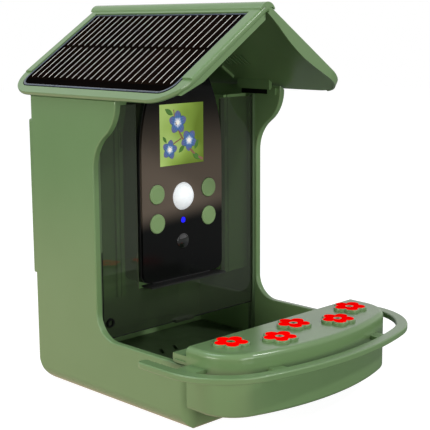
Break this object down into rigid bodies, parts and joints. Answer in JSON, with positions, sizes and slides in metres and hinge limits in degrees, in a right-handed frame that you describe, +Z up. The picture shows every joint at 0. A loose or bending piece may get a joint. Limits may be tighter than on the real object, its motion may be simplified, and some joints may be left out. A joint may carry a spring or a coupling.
{
  "type": "smart bird feeder",
  "caption": "Gabled garden bird feeder with a hopper and seed tray, solar roof panel, camera module with display and keys, and a nectar tub with flower ports and a perch rail.",
  "frame": {"origin": "on the base plane, at the mouth of the threaded insert in the middle of the body", "axes": "+X to the right seen from the front, +Y to the back, +Z up; the tray and the nectar tub face -Y"},
  "size_m": [0.213, 0.2505, 0.27],
  "materials": {
    "green_abs": "satin",
    "dark_green_abs": "satin",
    "button_green": "satin",
    "black_plastic": "satin",
    "black_window": "polished, smoked",
    "smoked_clear": "clear, lightly smoked",
    "solar_glass": "polished",
    "display_glass": "polished",
    "white_dome": "satin",
    "blue_led": "polished",
    "lens_barrel": "polished",
    "circuit_board": "satin",
    "battery_wrap": "satin",
    "rubber": "matte",
    "brass": "satin",
    "steel": "satin",
    "flower_red": "satin"
  },
  "bodies": {
    "body": {"body_shell": "green_abs", "body_hinges": "green_abs", "module_lip": "black_plastic", "base_insert": "brass", "seed_floor": "dark_green_abs", "gate_channel_left": "dark_green_abs", "gate_channel_right": "dark_green_abs", "hinge_pins": "steel", "rear_plate": "green_abs", "plate_screws": "steel", "front_window": "black_window", "module_bezel": "black_plastic", "module_housing": "black_plastic", "module_gasket": "rubber", "module_cover": "black_plastic", "cover_screws": "steel", "camera_bracket": "green_abs", "bracket_screws": "steel", "main_board": "circuit_board", "display": "display_glass", "key_switches": "black_plastic", "pir_lens": "white_dome", "pir_sensor": "steel", "status_led": "blue_led", "camera_lens": "lens_barrel", "ir_leds": "lens_barrel", "speaker": "black_plastic", "microphone": "steel", "battery": "battery_wrap", "usb_port": "steel"},
    "roof": {"roof_shell": "green_abs", "ridge_cap": "green_abs", "solar_panel": "solar_glass", "roof_skirts": "green_abs"},
    "gate": {"seed_gate": "smoked_clear", "gate_ring": "black_plastic"},
    "flap": {"usb_flap": "rubber"},
    "switch": {"power_switch": "black_plastic"},
    "card": {"memory_card": "black_plastic"},
    "tub": {"nectar_tub": "green_abs", "lid_gasket": "rubber", "perch_ring": "green_abs"},
    "lid": {"nectar_lid": "green_abs", "flower_1": "flower_red", "flower_2": "flower_red", "flower_3": "flower_red", "flower_4": "flower_red", "flower_5": "flower_red"},
    "key_1": {"button_1": "button_green"},
    "key_2": {"button_2": "button_green"},
    "key_3": {"button_3": "button_green"},
    "key_4": {"button_4": "button_green"}
  },
  "joints": [
    {"name": "roof_hinge", "type": "hinge", "parent": "body", "child": "roof", "pos_m": [0, 0.086, 0.204], "axis": [-1, 0, 0], "range_deg": [0, 75]},
    {"name": "gate_slide", "type": "slide", "parent": "body", "child": "gate", "axis": [0, 0, 1], "range_m": [-0.025, 0]},
    {"name": "flap_hinge", "type": "hinge", "parent": "body", "child": "flap", "pos_m": [0.0416, 0.02701, 0.104], "axis": [0, 1, 0], "range_deg": [0, 100]},
    {"name": "power_slide", "type": "slide", "parent": "body", "child": "switch", "axis": [0, 0, 1], "range_m": [0, 0.004]},
    {"name": "card_slide", "type": "slide", "parent": "body", "child": "card", "axis": [1, 0, 0], "range_m": [0, 0.012]},
    {"name": "tub_lift", "type": "slide", "parent": "body", "child": "tub", "axis": [0, 0, 1], "range_m": [0, 0.02]},
    {"name": "lid_lift", "type": "slide", "parent": "tub", "child": "lid", "axis": [0, 0, 1], "range_m": [0, 0.025]},
    {"name": "key_1_press", "type": "slide", "parent": "body", "child": "key_1", "axis": [0, 1, 0], "range_m": [0, 0.0005], "stiffness_N_per_m": 800},
    {"name": "key_2_press", "type": "slide", "parent": "body", "child": "key_2", "axis": [0, 1, 0], "range_m": [0, 0.0005], "stiffness_N_per_m": 800},
    {"name": "key_3_press", "type": "slide", "parent": "body", "child": "key_3", "axis": [0, 1, 0], "range_m": [0, 0.0005], "stiffness_N_per_m": 800},
    {"name": "key_4_press", "type": "slide", "parent": "body", "child": "key_4", "axis": [0, 1, 0], "range_m": [0, 0.0005], "stiffness_N_per_m": 800}
  ]
}
